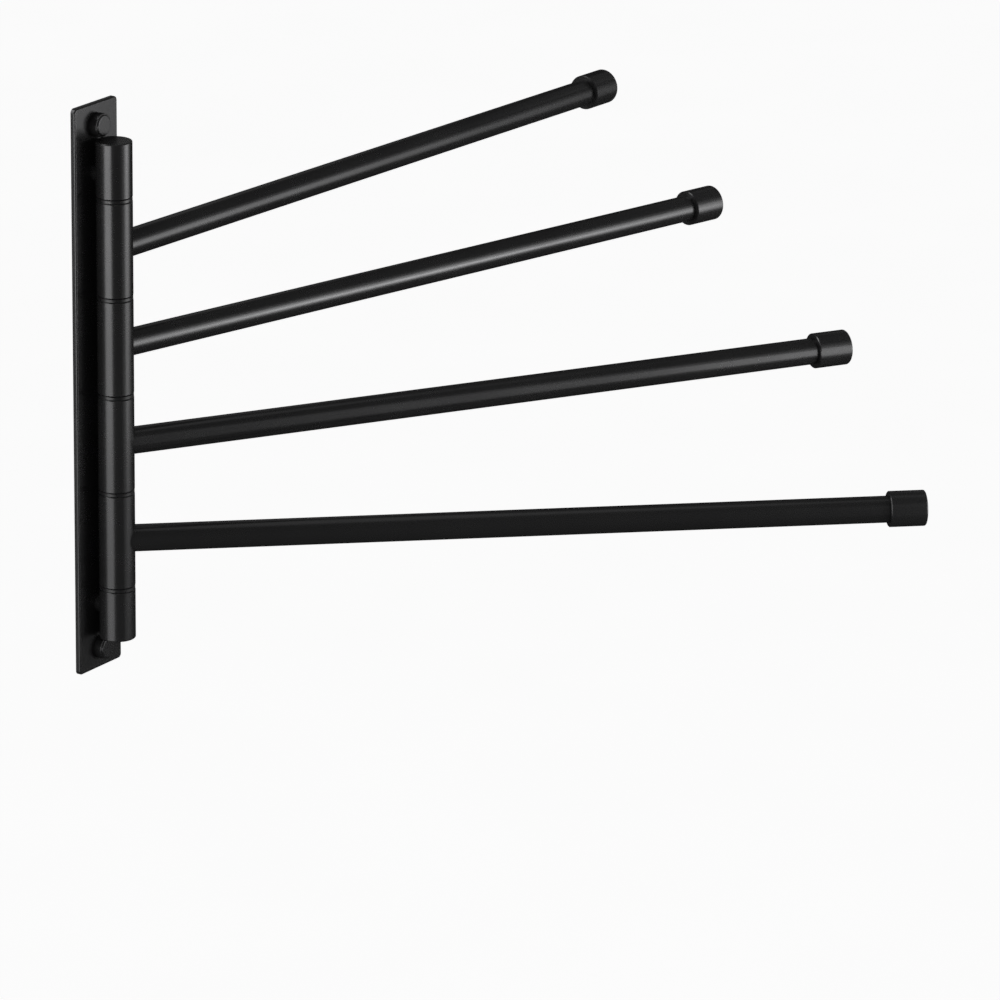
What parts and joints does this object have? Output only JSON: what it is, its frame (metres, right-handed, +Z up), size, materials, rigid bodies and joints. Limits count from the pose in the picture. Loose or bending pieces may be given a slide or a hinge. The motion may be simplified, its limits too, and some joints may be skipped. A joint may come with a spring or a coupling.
{
  "type": "towel rack",
  "caption": "Wall-mounted swing-arm towel rack: round arms on hubs that turn about a slim vertical column held off a flat wall plate.",
  "frame": {"origin": "centre of the wall plate's back face, midway between the two wall screws", "axes": "+Z up, +X along the wall towards the side the arms are turned to, +Y into the wall"},
  "size_m": [0.3961, 0.3015, 0.27],
  "materials": {
    "black_metal": "satin black coating on stainless steel",
    "plain_steel": "plain steel",
    "black_nylon": "matte black nylon",
    "white_nylon": "matte natural nylon"
  },
  "bodies": {
    "wall_column": {"wall_plate": "black_metal", "top_sleeve": "black_metal", "top_spacer": "black_metal", "bottom_sleeve": "black_metal", "bottom_spacer": "black_metal", "top_cover_base": "black_metal", "top_screw_cover": "black_metal", "bottom_cover_base": "black_metal", "bottom_screw_cover": "black_metal", "centre_shaft": "plain_steel", "top_sleeve_screw": "plain_steel", "bottom_sleeve_screw": "plain_steel", "washer_1": "black_nylon", "washer_2": "black_nylon", "washer_3": "black_nylon", "washer_4": "black_nylon", "washer_5": "black_nylon"},
    "arm_1": {"hub_1": "black_metal", "hub_liner_1": "white_nylon", "arm_spigot_1": "plain_steel", "arm_tube_1": "black_metal", "end_cap_1": "black_metal"},
    "arm_2": {"hub_2": "black_metal", "hub_liner_2": "white_nylon", "arm_spigot_2": "plain_steel", "arm_tube_2": "black_metal", "end_cap_2": "black_metal"},
    "arm_3": {"hub_3": "black_metal", "hub_liner_3": "white_nylon", "arm_spigot_3": "plain_steel", "arm_tube_3": "black_metal", "end_cap_3": "black_metal"},
    "arm_4": {"hub_4": "black_metal", "hub_liner_4": "white_nylon", "arm_spigot_4": "plain_steel", "arm_tube_4": "black_metal", "end_cap_4": "black_metal"}
  },
  "joints": [
    {"name": "arm_1_swing", "type": "hinge", "parent": "wall_column", "child": "arm_1", "pos_m": [0, -0.01225, 0.06865], "axis": [0, 0, -1], "range_deg": [-3.7, 176.3]},
    {"name": "arm_2_swing", "type": "hinge", "parent": "wall_column", "child": "arm_2", "pos_m": [0, -0.01225, 0.02225], "axis": [0, 0, -1], "range_deg": [-14.5, 165.5]},
    {"name": "arm_3_swing", "type": "hinge", "parent": "wall_column", "child": "arm_3", "pos_m": [0, -0.01225, -0.02415], "axis": [0, 0, -1], "range_deg": [-31.3, 148.7]},
    {"name": "arm_4_swing", "type": "hinge", "parent": "wall_column", "child": "arm_4", "pos_m": [0, -0.01225, -0.07055], "axis": [0, 0, -1], "range_deg": [-48.3, 131.7]}
  ]
}
